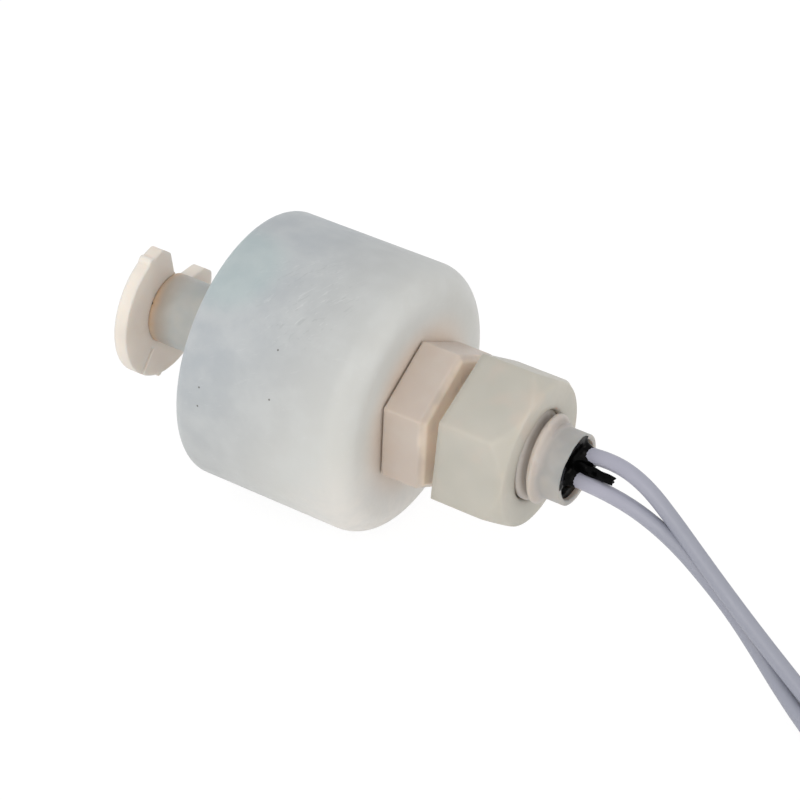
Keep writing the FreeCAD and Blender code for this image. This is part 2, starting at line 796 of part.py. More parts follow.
def make_lead_coil():
    """The outer shape of the turns of both leads, lifted off the bench by the tie where it goes under."""
    body = new_body("lead_coil")
    inner, outer = size("coil_radius") - size("coil_width") / 2, size("coil_radius") + size("coil_width") / 2
    height, thick = size("coil_height"), size("tie_thickness")
    ring = turned(body, "Revolution", "Ring", [
        (inner, 0),
        (outer, 0),
        (outer, height),
        (inner, height),
    ], axis="V_Axis")
    dress(body, "Chamfer", "Corners", ring, lambda e: isinstance(e.Curve, Part.Circle), size("coil_round"))
    under = outline(new_sketch(body, "TieRoom", "XZ_Plane"), [
        (inner - thick, -thick),
        (outer + thick, -thick),
        (outer + thick, thick),
        (inner - thick, thick),
    ])
    feature(body, "Pocket", "TieNotch", under, Length=size("tie_width"), Midplane=True)
    return at_coil(body)


def make_all():
    """Every piece of the switch, in the order that it is put together."""
    reed_front = make_reed_blade("reed_blade_near", 1)
    reed_back = make_reed_blade("reed_blade_far", -1)
    return_wire = make_return_wire()
    near, back = size("reed_offset"), -size("back_wire_offset")
    core = size("core_diameter")
    core_a = make_rod("lead_a_core", core, SOLDER_BACK, LEAD_START, size("lead_a_offset"))
    core_b = make_rod("lead_b_core", core, SOLDER_BACK, LEAD_START, -size("lead_b_offset"))
    sleeve_room = make_rod("sleeve_room", size("sleeve_diameter"), POTTING_BACK, SLEEVE_FRONT, back)
    near_middle = (near + size("lead_a_offset")) / 2
    back_middle = (back - size("lead_b_offset")) / 2
    joint = size("solder_length")
    solders = [
        make_solder("solder_near", SOLDER_BACK, joint, near_middle, [reed_front, core_a]),
        make_solder("solder_return", SOLDER_BACK, joint, back_middle, [return_wire, core_b]),
        make_solder("solder_far", FAR_WIRE_END - joint / 2, joint, near, [reed_back, return_wire]),
    ]
    lead_a = make_lead("a", size("lead_a_offset"), LEAD_A_ROUTE, TAIL_A_RUN)
    lead_b = make_lead("b", -size("lead_b_offset"), LEAD_B_ROUTE, TAIL_B_RUN)
    potted = [reed_front, return_wire, sleeve_room, core_a, core_b, *solders[:2], lead_a, lead_b]
    return [
        make_stem_body(),
        make_retaining_clip(),
        make_hex_nut(),
        make_float_shell(),
        make_float_end_cap(),
        make_float_magnet(),
        make_reed_glass(),
        reed_front,
        reed_back,
        return_wire,
        make_return_sleeve(),
        *solders,
        make_potting(potted),
        core_a,
        core_b,
        lead_a,
        lead_b,
        make_lead_coil(),
        make_coil_tie(),
        make_lead_tip("a", TAIL_A_RUN),
        make_lead_tip("b", TAIL_B_RUN),
    ]


def check(pieces):
    """Stops if anything in the document failed, or if a piece is not a sound solid."""
    for thing in doc.Objects:
        if "Invalid" in thing.State or "Error" in thing.State:
            raise RuntimeError(f"{thing.Name} failed: {thing.State}")
    for piece in pieces:
        shape = piece.Shape
        if shape.isNull() or not shape.isValid() or not shape.Solids:
            raise RuntimeError(f"{piece.Label} has no sound solid")


def write(pieces):
    os.makedirs("parts", exist_ok=True)
    for piece in pieces:
        piece.Shape.exportStep(f"parts/{piece.Label}.step")
        print(f"{piece.Label}: {len(piece.Shape.Solids)} solid, {piece.Shape.Volume:.2f} mm3")


PIECES = make_all()
doc.recompute()
check(PIECES)
write(PIECES)
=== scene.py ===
import math
import bmesh
import bpy
from mathutils import Matrix, Vector


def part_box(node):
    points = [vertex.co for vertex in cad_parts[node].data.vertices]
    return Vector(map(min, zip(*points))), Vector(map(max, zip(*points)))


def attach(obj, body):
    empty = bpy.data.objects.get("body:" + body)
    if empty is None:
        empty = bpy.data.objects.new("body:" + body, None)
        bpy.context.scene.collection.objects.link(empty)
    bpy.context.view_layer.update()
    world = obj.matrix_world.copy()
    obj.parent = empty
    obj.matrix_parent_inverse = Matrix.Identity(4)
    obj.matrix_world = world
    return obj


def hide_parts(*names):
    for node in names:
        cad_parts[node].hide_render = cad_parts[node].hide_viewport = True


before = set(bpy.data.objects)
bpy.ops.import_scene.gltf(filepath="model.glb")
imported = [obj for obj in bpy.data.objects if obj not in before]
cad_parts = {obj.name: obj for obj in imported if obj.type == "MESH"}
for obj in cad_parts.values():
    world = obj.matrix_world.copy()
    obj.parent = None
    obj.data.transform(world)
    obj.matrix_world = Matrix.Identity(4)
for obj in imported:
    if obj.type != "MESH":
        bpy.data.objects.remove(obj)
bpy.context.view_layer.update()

MM = 0.001

# Where the switch's own pieces lie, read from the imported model.
NUT_LOW, NUT_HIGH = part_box("hex_nut")
STEM_LOW, STEM_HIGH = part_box("stem_body")
FLOAT_LOW, FLOAT_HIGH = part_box("float_shell")
AXIS_Y = (FLOAT_LOW.y + FLOAT_HIGH.y) / 2
AXIS_Z = (FLOAT_LOW.z + FLOAT_HIGH.z) / 2
STUB_END = STEM_HIGH.x
# The flange's face that seats on the tank wall; stations along the stem are counted from it.
SEAT = STUB_END - 11.5 * MM

# The M8 x 1.25 thread of the stud: a groove whose flanks stand 60 degrees apart. Half its width at the
# root, half the cutter's width at its outer end, and how far out that end is, are shares of the pitch.
PITCH = 1.25 * MM
ROOT_R = 3.28 * MM
GROOVE_ROOT = 0.064
GROOVE_MOUTH = 0.455
GROOVE_DEPTH = 0.68
THREAD_START = SEAT + 0.4 * MM
THREAD_END = SEAT + 9.8 * MM
THREAD_PHASE = math.radians(130)

# The flange's and the nut's hexagons: the width across flats and where a corner stands about the stem.
FLANGE_FLATS = 12.0 * MM
FLANGE_TURN = 26.0
FLANGE_THICKNESS = 4.1 * MM
FLANGE_CHAMFER = 0.5 * MM
FLANGE_CORE_R = 2.9 * MM
NUT_FLATS = 13.0 * MM
NUT_TURN = 20.6
NUT_BORE_R = 4.0 * MM
NUT_SINK = 0.25 * MM
# The round face left at the nut's outer end, as a share of the flats, and how steeply the cone leaves it.
NUT_FACE = 0.985
NUT_CONE = 1.5

# The small radii that the moulds leave along the edges, in millimetres.
HEXAGON_EDGE = 0.12
CLIP_EDGE = 0.15
FLOAT_EDGE = 0.1
# How far the clip's face stands back, in millimetres, so that the float only just reaches it.
CLIP_GAP = 0.03

# The cup at the stud's end and the resin in it.
CUP_R = 2.75 * MM
RESIN_FACE = SEAT + 10.9 * MM
RESIN_BACK = SEAT + 8.2 * MM
# How much smaller the resin is than the cup, so that their walls don't share a surface.
RESIN_GAP = 0.01 * MM
# The line that both leads leave the cup on, about the stem, and for each lead how far along it the
# lead stands and how high the resin climbs it, in millimetres.
LEADS_TURN = math.radians(45.6)
RESIN_COLLARS = ((1.45, 1.55), (-0.7, 0.62))

# Where the float is scuffed and where a cool shade is painted on it, which way the scuffs run, and
# where the float and the stem have specks, in millimetres.
SCUFFED = (-1.5, -4.5, 23.7)
PAINTED_COOL_SHADE = (-9.0, -4.0, 23.9)
SCUFF_ALONG = (0.45, 0.8, 0.28)
FAINT_ALONG = (0.9, 0.3, 0.3)
STEM_SPECKS = [(6.97, -6.1, 14.15), (-19.5, -2.5, 14.4)]
FLOAT_SPECKS = [(-7.8, -11.65, 16.2), (-7.75, -12.1, 14.5), (-0.95, -11.15, 17.5), (-1.55, -8.75, 20.9),
                (5.75, 0.85, 24.5)]

# The leads: their radius, in metres, and the points of their routes from the resin to the coil, in
# millimetres.
LEAD_R = 0.7 * MM
LEAD_A_START = (19.8, 1.0145, 13.336)
LEAD_B_START = (19.8, -0.4898, 11.8)
LEAD_A_ROUTE = [
    (22.65, 1.0, 13.45),
    (24.9, 0.95, 13.75),
    (26.95, 0.75, 13.6),
    (29.15, 0.35, 12.85),
    (31.65, -0.2, 11.2),
    (34.6, -0.95, 9.15),
    (37.85, -1.8, 7.0),
    (41.5, -2.8, 4.8),
    (45.45, -4.0, 2.8),
    (49.05, -5.4, 1.4),
    (52.65, -7.1, 0.72),
]
LEAD_B_ROUTE = [
    (22.65, -0.5, 11.8),
    (25.25, -0.6, 11.75),
    (27.85, -0.7, 11.4),
    (30.45, -0.8, 10.5),
    (32.95, -0.9, 9.1),
    (35.45, -1.05, 7.2),
    (38.15, -1.4, 5.15),
    (41.05, -2.35, 3.1),
    (44.25, -4.0, 1.5),
    (47.65, -6.1, 0.75),
    (51.25, -8.4, 0.7),
]
# The coil: its middle in millimetres, and the turn in degrees at which both leads come in.
COIL_X = 60.75
COIL_Y = -0.8
COIL_ENTRY = -116.0
# The turns rise over the tie's lower run.
TIE_TURN = 20.0
TIE_LIFT = 0.3
# Each turn of a lead keeps its own place in the coil: radius and height, from the first turn on.
LEAD_A_TURNS = [(9.125, 0.7), (7.675, 0.7), (6.225, 0.7), (6.95, 1.96), (7.675, 3.22)]
LEAD_B_TURNS = [(10.575, 0.7), (9.85, 1.96), (8.4, 1.96), (9.125, 3.22)]
# Where the first turns cross over to their next place; the turns on top cross before those below.
CROSS_A = [208.0, 172.0, 136.0, 100.0]
CROSS_B = [172.0, 136.0, 100.0]
CROSS_WIDTH = 36.0
# The turn at which each lead leaves the top of the coil, and its free end from there down to the bench:
# how far ahead each point lies, and how high.
LEAD_A_LEAVES = 80.0
LEAD_B_LEAVES = 65.0
TAIL_A_RUN = [(2.0, 3.3), (6.3, 3.4), (10.2, 1.9), (13.8, 0.85), (17.0, 0.7)]
TAIL_B_RUN = [(1.0, 3.3), (4.8, 3.35), (8.6, 1.75), (12.2, 0.85), (15.5, 0.7)]
STEPS_A_TURN = 16
# A spline of order 3 runs this much inside points set on a circle.
CHORD = 0.75 + 0.25 * math.cos(math.tau / STEPS_A_TURN)

# The camera's bearing, and where it stands from the nut's back face.
CAMERA_AZIMUTH = 32.05
CAMERA_ELEVATION = 39.7
CAMERA_DISTANCE = 229.8 * MM
CAMERA_RIGHT = 6.255 * MM
CAMERA_DOWN = 2.434 * MM
CAMERA_LENS = 121.5


def place_camera():
    """Looks down on the switch from its cable end's near side."""
    azimuth, elevation = math.radians(CAMERA_AZIMUTH), math.radians(CAMERA_ELEVATION)
    right = Vector((math.cos(azimuth), math.sin(azimuth), 0))
    ahead = Vector((-math.sin(azimuth) * math.cos(elevation), math.cos(azimuth) * math.cos(elevation),
                    -math.sin(elevation)))
    down = ahead.cross(right)
    nut_back = Vector((NUT_LOW.x, AXIS_Y, AXIS_Z))
    data = bpy.data.cameras.new("camera")
    data.lens = CAMERA_LENS
    data.sensor_width = 36
    data.clip_start = 0.01
    camera = bpy.data.objects.new("camera", data)
    camera.location = nut_back - right * CAMERA_RIGHT - down * CAMERA_DOWN - ahead * CAMERA_DISTANCE
    camera.rotation_euler = Matrix((right, -down, -ahead)).transposed().to_euler()
    bpy.context.collection.objects.link(camera)
    bpy.context.scene.camera = camera


def linear(colour):
    """The linear value of an sRGB colour written as #rrggbb."""
    parts = [int(colour[i:i + 2], 16) / 255 for i in (1, 3, 5)]
    return tuple(p / 12.92 if p <= 0.04045 else ((p + 0.055) / 1.055) ** 2.4 for p in parts) + (1.0,)


def add(tree, kind, settings=None, **inputs):
    """A node with its settings; each input is a value, or a socket that it is linked to.

    An input is named as its socket is, or by its place, as i0."""
    node = tree.nodes.new(kind)
    for key, value in (settings or {}).items():
        setattr(node, key, value)
    for key, value in inputs.items():
        by_place = key[0] == "i" and key[1:].isdigit()
        socket = node.inputs[int(key[1:]) if by_place else key.replace("_", " ")]
        if isinstance(value, bpy.types.NodeSocket):
            tree.links.new(value, socket)
        elif isinstance(value, str):
            socket.default_value = linear(value)
        else:
            socket.default_value = value
    return node


def new_material(name):
    material = bpy.data.materials.new(name)
    material.use_nodes = True
    tree = material.node_tree
    tree.nodes.clear()
    shader = add(tree, "ShaderNodeBsdfPrincipled")
    add(tree, "ShaderNodeOutputMaterial", Surface=shader.outputs[0])
    where = add(tree, "ShaderNodeTexCoord").outputs["Object"]
    return material, tree, shader, where


def sink_light(shader, weight, tint, depth):
    """Lets light into the plastic to a depth in millimetres; the tint says how far each colour gets."""
    shader.inputs["Subsurface Weight"].default_value = weight
    shader.inputs["Subsurface Radius"].default_value = tint
    shader.inputs["Subsurface Scale"].default_value = depth * MM


def ramp(tree, fac, stops):
    """A colour ramp whose stops are (place, colour)."""
    node = add(tree, "ShaderNodeValToRGB", Fac=fac)
    elements = node.color_ramp.elements
    while len(elements) < len(stops):
        elements.new(0.5)
    for element, (place, colour) in zip(elements, stops):
        element.position = place
        element.color = linear(colour)
    return node.outputs["Color"]


def noise(tree, where, grain, detail=3.0, rough=0.5):
    """Noise whose features are about one grain, in millimetres, across."""
    return add(tree, "ShaderNodeTexNoise", Vector=where, Scale=1 / (grain * MM), Detail=detail,
               Roughness=rough).outputs["Fac"]


def mixed(tree, fac, first, second):
    """A colour between two colours or sockets."""
    node = add(tree, "ShaderNodeMix", {"data_type": "RGBA"}, Factor=fac)
    for socket, value in ((node.inputs[6], first), (node.inputs[7], second)):
        if isinstance(value, bpy.types.NodeSocket):
            tree.links.new(value, socket)
        else:
            socket.default_value = linear(value)
    return node.outputs[2]


def count(tree, how, *values):
    """A Math node's result."""
    node = add(tree, "ShaderNodeMath", {"operation": how})
    for socket, value in zip(node.inputs, values):
        if isinstance(value, bpy.types.NodeSocket):
            tree.links.new(value, socket)
        else:
            socket.default_value = value
    return node.outputs[0]


def between(tree, value, low, high, start=0.0, end=1.0):
    """A smooth step from start to end as the value goes from low to high."""
    node = add(tree, "ShaderNodeMapRange", {"interpolation_type": "SMOOTHSTEP"}, Value=value)
    for socket, number in zip(node.inputs[1:5], (low, high, start, end)):
        socket.default_value = number
    return node.outputs[0]


def bumped(tree, shader, height, depth, edge=0.0):
    """Gives the shader a bump of a depth, and edges that look rounded by a radius, in millimetres."""
    node = add(tree, "ShaderNodeBump", Height=height, Distance=depth * MM, Strength=1.0)
    if edge:
        rounded = add(tree, "ShaderNodeBevel", {"samples": 6}, Radius=edge * MM)
        tree.links.new(rounded.outputs[0], node.inputs["Normal"])
    tree.links.new(node.outputs["Normal"], shader.inputs["Normal"])


def flecks(tree, where, spacing, size, share):
    """Specks of dirt or scorched resin, sparse and each about the given size in millimetres."""
    node = add(tree, "ShaderNodeTexVoronoi", Vector=where, Scale=1 / (spacing * MM))
    share_of_cell = size / spacing
    near = between(tree, node.outputs["Distance"], share_of_cell * 0.6, share_of_cell, 1.0, 0.0)
    apart = add(tree, "ShaderNodeSeparateColor", Color=node.outputs["Color"])
    chosen = count(tree, "GREATER_THAN", apart.outputs[0], 1 - share)
    return count(tree, "MULTIPLY", near, chosen)


def marks(tree, where, places, size):
    """Round marks or patches of a radius, at places, all in millimetres."""
    total = None
    for x, y, z in places:
        apart = add(tree, "ShaderNodeVectorMath", {"operation": "DISTANCE"}, i0=where)
        apart.inputs[1].default_value = (x * MM, y * MM, z * MM)
        near = between(tree, apart.outputs["Value"], size * 0.5 * MM, size * MM, 1.0, 0.0)
        total = near if total is None else count(tree, "MAXIMUM", total, near)
    return total


def strokes(tree, where, along, grain, length):
    """Noise drawn out into strokes along a direction, with a grain and a length in millimetres."""
    first = Vector(along).normalized()
    second = first.cross(Vector((0.3, 0.4, 0.9))).normalized()
    axes = []
    for axis, size in ((first, length), (second, grain), (first.cross(second), grain)):
        dot = add(tree, "ShaderNodeVectorMath", {"operation": "DOT_PRODUCT"}, i0=where)
        dot.inputs[1].default_value = axis / (size * MM)
        axes.append(dot.outputs["Value"])
    drawn = add(tree, "ShaderNodeCombineXYZ", X=axes[0], Y=axes[1], Z=axes[2])
    return add(tree, "ShaderNodeTexNoise", Vector=drawn.outputs[0], Scale=1.0, Detail=3.0, Roughness=0.6,
               Distortion=0.6).outputs["Fac"]


def natural_polypropylene(name, pale, deep, warm, edge):
    """Natural polypropylene, injection moulded: a milky plastic that light sinks into, satin, and
    slightly uneven in tone from the melt's flow."""
    material, tree, shader, where = new_material(name)
    flow = noise(tree, where, 5.0, 2.0)
    tone = ramp(tree, flow, [(0.3, deep), (0.7, pale)])
    stain = between(tree, noise(tree, where, 3.4, 2.0), 0.55, 0.75, 0.0, 0.3)
    tone = mixed(tree, stain, tone, "#cdbcb0")
    specks = flecks(tree, where, 4.2, 0.13, 0.12)
    colour = mixed(tree, specks, tone, "#6e5a48")
    tree.links.new(colour, shader.inputs["Base Color"])
    sink_light(shader, 0.5, warm, 1.6)
    shader.inputs["IOR"].default_value = 1.49
    grain = noise(tree, where, 0.35, 2.0)
    tree.links.new(between(tree, grain, 0.2, 0.8, 0.4, 0.52), shader.inputs["Roughness"])
    bumped(tree, shader, grain, 0.006, edge)
    return material


def stem_polypropylene():
    """Natural polypropylene of the stem, one moulding. The flange is solid, so light goes deep into it
    and comes back warm. Elsewhere the wall is thin over dark resin, which greys it. Where the stem
    meets the clip's face it is painted amber for warm light bounced off the clip, with painted shade
    just past it. The neck before the nut is painted bright and warm for light bounced between the
    flange and the nut."""
    material, tree, shader, where = new_material("stem_polypropylene")
    apart = add(tree, "ShaderNodeSeparateXYZ", Vector=where)
    flow = noise(tree, where, 2.5, 2.0)
    drift = count(tree, "MULTIPLY", count(tree, "SUBTRACT", flow, 0.5), 0.9 * MM)
    at = count(tree, "ADD", apart.outputs["X"], drift)
    length = STEM_HIGH.x - STEM_LOW.x
    share = between(tree, at, STEM_LOW.x, STEM_HIGH.x)
    share.node.interpolation_type = "LINEAR"
    clip_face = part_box("retaining_clip")[1].x
    # From the tip: the clip's seat, the slide, the flange, the gap before the nut, the thread, the stub.
    # The amber at the clip's face is painted warm light bounced off the clip, and the darker tone just
    # past it is painted shade from the clip.
    stops = [(clip_face - 2.0 * MM, "#cbc3ba"), (clip_face - 0.9 * MM, "#c9b9a6"),
             (clip_face - 0.2 * MM, "#d0a67d"), (clip_face + 0.7 * MM, "#a99e93"),
             (clip_face + 2.4 * MM, "#acafad"), (SEAT - 4.6 * MM, "#bcbab4"),
             (SEAT - 4.0 * MM, "#c5b8ae"), (SEAT - 0.5 * MM, "#c3b8af"),
             # The near white from just past the seat is painted warm light bounced between the flange and
             # the nut.
             (SEAT + 0.1 * MM, "#f9e8d6"), (SEAT + 1.5 * MM, "#f9eadb"), (SEAT + 2.4 * MM, "#bfb6b0"),
             (SEAT + 9.3 * MM, "#bcb5b0"), (SEAT + 9.7 * MM, "#a3a09e"), (STUB_END, "#a0a1a1")]
    tone = ramp(tree, share, [((x - STEM_LOW.x) / length, colour) for x, colour in stops])
    cloud = between(tree, flow, 0.35, 0.7, 0.0, 0.25)
    tone = mixed(tree, cloud, tone, "#cfc8be")
    # Painted shade darkens the thread's grooves, where less light gets in.
    across = apart.outputs["Y"]
    above = count(tree, "SUBTRACT", apart.outputs["Z"], AXIS_Z)
    across, above = count(tree, "MULTIPLY", across, across), count(tree, "MULTIPLY", above, above)
    radius = count(tree, "SQRT", count(tree, "ADD", across, above))
    in_groove = between(tree, radius, 3.4 * MM, 3.85 * MM, 0.75, 0.0)
    on_thread = between(tree, apart.outputs["X"], SEAT + 8.7 * MM, SEAT + 9.4 * MM, 1.0, 0.0)
    past_gap = between(tree, apart.outputs["X"], SEAT + 2.0 * MM, SEAT + 4.0 * MM)
    groove_shade = count(tree, "MULTIPLY", in_groove, count(tree, "MULTIPLY", on_thread, past_gap))
    tone = mixed(tree, groove_shade, tone, "#7d7268")
    specks = marks(tree, where, STEM_SPECKS, 0.16)
    specks = count(tree, "MAXIMUM", specks, flecks(tree, where, 3.1, 0.12, 0.08))
    tone = mixed(tree, specks, tone, "#5c4a3a")
    tree.links.new(tone, shader.inputs["Base Color"])
    sink_light(shader, 0.5, (1.0, 0.72, 0.5), 1.8)
    shader.inputs["IOR"].default_value = 1.49
    grain = noise(tree, where, 0.35, 2.0)
    tree.links.new(between(tree, grain, 0.2, 0.8, 0.4, 0.52), shader.inputs["Roughness"])
    bumped(tree, shader, grain, 0.006, 0.3)
    return material


def float_polypropylene():
    """Natural polypropylene of the float: milky and cool. It is painted lighter and warmer low down and
    at the flange's end and darker high up and at the far end, with a painted cool shade on its upper side
    and a painted warm glow round the flange. It has fine scuffs from handling along one band, with
    painted shade along some of them, and a few dark specks. The scuffs are drawn as coarse as they need
    to show."""
    material, tree, shader, where = new_material("float_polypropylene")
    apart = add(tree, "ShaderNodeSeparateXYZ", Vector=where)
    along = between(tree, apart.outputs["X"], FLOAT_LOW.x, FLOAT_HIGH.x)
    height = between(tree, apart.outputs["Z"], FLOAT_LOW.z, FLOAT_HIGH.z, 1.0, 0.0)
    # Painted light: lighter and warmer low down and towards the flange's end, darker high up and at the
    # far end.
    painted_light = count(tree, "ADD", count(tree, "MULTIPLY", along, 0.55),
                   count(tree, "MULTIPLY", height, 0.45))
    tone = ramp(tree, painted_light, [(0.1, "#aeb4b9"), (0.4, "#b8bbbc"), (0.7, "#cacbc8"), (1.0, "#e6e2dd")])
    cloud = noise(tree, where, 4.0, 4.0, 0.6)
    tone = mixed(tree, between(tree, cloud, 0.35, 0.7, 0.0, 0.4), tone, "#cccfcf")
    # A painted cool shade on the float's upper side.
    cool_shade = marks(tree, where, [PAINTED_COOL_SHADE], 5.5)
    tone = mixed(tree, count(tree, "MULTIPLY", cool_shade, 0.35), tone, "#a9c0c0")
    # A painted warm glow round the flange's end, which also lightens the shade where the float meets the
    # flange.
    painted_glow = marks(tree, where, [(FLOAT_HIGH.x / MM, 0.0, AXIS_Z / MM)], 9.4)
    tone = mixed(tree, count(tree, "MULTIPLY", painted_glow, 0.8), tone, "#dcc6b4")
    rubbed = marks(tree, where, [SCUFFED], 6.0)
    scuffs = between(tree, strokes(tree, where, SCUFF_ALONG, 0.34, 1.9), 0.58, 0.68)
    faint = between(tree, strokes(tree, where, FAINT_ALONG, 0.3, 2.2), 0.62, 0.7, 0.0, 0.35)
    scuffs = count(tree, "MAXIMUM", count(tree, "MULTIPLY", scuffs, rubbed), faint)
    tone = mixed(tree, count(tree, "MULTIPLY", scuffs, 0.24), tone, "#e0e2e2")
    # Painted shade along some of the scuffs, within the rubbed patch.
    painted_scuff_shade = between(tree, strokes(tree, where, SCUFF_ALONG, 0.32, 1.5), 0.33, 0.4, 1.0, 0.0)
    painted_scuff_shade = count(tree, "MULTIPLY", painted_scuff_shade, rubbed)
    tone = mixed(tree, count(tree, "MULTIPLY", painted_scuff_shade, 0.2), tone, "#8f9698")
    strewn = flecks(tree, where, 5.0, 0.12, 0.06)
    specks = count(tree, "MAXIMUM", strewn, marks(tree, where, FLOAT_SPECKS, 0.12))
    tone = mixed(tree, count(tree, "MULTIPLY", specks, 0.8), tone, "#4a4640")
    tree.links.new(tone, shader.inputs["Base Color"])
    sink_light(shader, 0.35, (1.0, 0.95, 0.9), 2.0)
    shader.inputs["IOR"].default_value = 1.49
    grain = noise(tree, where, 0.5, 3.0)
    tree.links.new(between(tree, grain, 0.2, 0.8, 0.38, 0.55), shader.inputs["Roughness"])
    relief = count(tree, "ADD", count(tree, "MULTIPLY", grain, 0.5),
                   count(tree, "MULTIPLY", scuffs, -0.5))
    bumped(tree, shader, relief, 0.012)
    return material


def potting_resin():
    """Black potting epoxy, poured and cured: smooth and deep black, with slow dimples where it shrank.
    Its gloss is held low, because the rim and the leads keep most of the pale room out of it."""
    material, tree, shader, where = new_material("potting_epoxy")
    dust = noise(tree, where, 0.4, 3.0)
    tree.links.new(ramp(tree, dust, [(0.4, "#040404"), (0.8, "#0c0c0d")]), shader.inputs["Base Color"])
    tree.links.new(between(tree, dust, 0.3, 0.8, 0.12, 0.3), shader.inputs["Roughness"])
    shader.inputs["IOR"].default_value = 1.55
    shader.inputs["Specular IOR Level"].default_value = 0.05
    bumped(tree, shader, noise(tree, where, 0.9, 2.0), 0.08)
    return material


def lead_insulation():
    """Extruded PVC insulation, pale lavender grey and satin, a little darker away from the switch."""
    material, tree, shader, where = new_material("pvc_insulation")
    tone = ramp(tree, noise(tree, where, 3.0, 2.0), [(0.3, "#a4a5b4"), (0.7, "#acacbb")])
    apart = add(tree, "ShaderNodeSeparateXYZ", Vector=where)
    # Darker from 24 mm to 33 mm along, away from the switch.
    far_darkening = between(tree, apart.outputs["X"], 24 * MM, 33 * MM)
    tone = mixed(tree, far_darkening, tone, "#979aa7")
    tree.links.new(tone, shader.inputs["Base Color"])
    sink_light(shader, 0.15, (1.0, 0.95, 1.0), 0.4)
    shader.inputs["IOR"].default_value = 1.53
    grain = noise(tree, where, 0.25, 2.0)
    tree.links.new(between(tree, grain, 0.2, 0.8, 0.36, 0.46), shader.inputs["Roughness"])
    bumped(tree, shader, grain, 0.004)
    return material


def metal(name, bright, dull, rough, grain):
    """Tinned copper, solder or plated nickel iron: a soft grey metal with a drawn or frozen surface."""
    material, tree, shader, where = new_material(name)
    tarnish = noise(tree, where, grain, 3.0)
    tree.links.new(ramp(tree, tarnish, [(0.3, dull), (0.7, bright)]), shader.inputs["Base Color"])
    shader.inputs["Metallic"].default_value = 1.0
    tree.links.new(between(tree, tarnish, 0.2, 0.8, rough, rough + 0.2), shader.inputs["Roughness"])
    bumped(tree, shader, tarnish, 0.01)
    return material


def ferrite():
    """Pressed and sintered ferrite: dull charcoal, slightly porous."""
    material, tree, shader, where = new_material("sintered_ferrite")
    pores = noise(tree, where, 0.3, 4.0)
    tree.links.new(ramp(tree, pores, [(0.3, "#26262a"), (0.7, "#3a3a3e")]), shader.inputs["Base Color"])
    shader.inputs["Roughness"].default_value = 0.7
    bumped(tree, shader, pores, 0.02)
    return material


def capsule_glass():
    """Soft glass of a reed capsule, faintly green, fire polished at its ends."""
    material, tree, shader, where = new_material("capsule_glass")
    swirl = noise(tree, where, 2.0, 1.0)
    tree.links.new(ramp(tree, swirl, [(0.3, "#cfe4d8"), (0.7, "#dcebe2")]), shader.inputs["Base Color"])
    shader.inputs["Transmission Weight"].default_value = 0.9
    shader.inputs["Roughness"].default_value = 0.04
    shader.inputs["IOR"].default_value = 1.5
    bumped(tree, shader, swirl, 0.01)
    return material


def smooth_plastic(name, pale, deep, rough):
    """Extruded or moulded thin plastic, such as a wire's sleeve or a flat tie."""
    material, tree, shader, where = new_material(name)
    tone = ramp(tree, noise(tree, where, 1.5, 2.0), [(0.3, deep), (0.7, pale)])
    tree.links.new(tone, shader.inputs["Base Color"])
    shader.inputs["Roughness"].default_value = rough
    shader.inputs["IOR"].default_value = 1.5
    bumped(tree, shader, noise(tree, where, 0.3, 2.0), 0.004)
    return material


def link_piece(name, mesh):
    piece = bpy.data.objects.new(name, mesh)
    bpy.context.collection.objects.link(piece)
    return piece


def merged_copy(node, name):
    """A CAD node's mesh as one closed surface, ready for work on its edges."""
    mesh = bpy.data.meshes.new(name)
    shape = bmesh.new()
    shape.from_mesh(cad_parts[node].data)
    bmesh.ops.remove_doubles(shape, verts=shape.verts, dist=0.0005 * MM)
    bmesh.ops.dissolve_limit(shape, angle_limit=math.radians(0.4), verts=shape.verts, edges=shape.edges)
    shape.to_mesh(mesh)
    shape.free()
    mesh.materials.clear()
    return link_piece(name, mesh)


def applied(piece):
    """The piece with its modifiers turned into plain mesh."""
    graph = bpy.context.evaluated_depsgraph_get()
    mesh = bpy.data.meshes.new_from_object(piece.evaluated_get(graph))
    piece.modifiers.clear()
    old, piece.data = piece.data, mesh
    bpy.data.meshes.remove(old)
    mesh.name = piece.name
    return piece


def shaded(piece, angle):
    """Smooth shading with sharp edges past an angle in degrees."""
    mesh = piece.data
    mesh.polygons.foreach_set("use_smooth", [True] * len(mesh.polygons))
    mesh.set_sharp_from_angle(angle=math.radians(angle))
    return piece


def points_round(shape, x, radius, start, number):
    """Evenly spaced points about the stem's axis, from a turn in radians."""
    turns = [start + math.tau * k / number for k in range(number)]
    return [shape.verts.new((x, AXIS_Y + radius * math.cos(turn), AXIS_Z + radius * math.sin(turn)))
            for turn in turns]


def hexagon(name, flats, low, high, corner, back, front):
    """A closed hexagonal prism about the stem's axis, with straight chamfers along its ends."""
    shape = bmesh.new()
    rings = []
    for x, inset in ((low, back), (low + back, 0.0), (high - front, 0.0), (high, front)):
        radius = (flats / 2 - inset) / math.cos(math.pi / 6)
        rings.append(points_round(shape, x, radius, math.radians(corner), 6))
    close_rings(shape, rings)
    return bmesh_piece(shape, name)


def turned(name, profile, spokes=96):
    """A closed solid turned about the stem's axis from (x, radius) points."""
    shape = bmesh.new()
    close_rings(shape, [points_round(shape, x, radius, 0.0, spokes) for x, radius in profile])
    return bmesh_piece(shape, name)


def join_rings(shape, rings):
    """Faces between each ring of points and the next."""
    for inner, outer in zip(rings, rings[1:]):
        for k in range(len(inner)):
            after = (k + 1) % len(inner)
            shape.faces.new((inner[k], inner[after], outer[after], outer[k]))


def close_rings(shape, rings):
    join_rings(shape, rings)
    shape.faces.new(rings[0][::-1])
    shape.faces.new(rings[-1])
    bmesh.ops.recalc_face_normals(shape, faces=shape.faces)


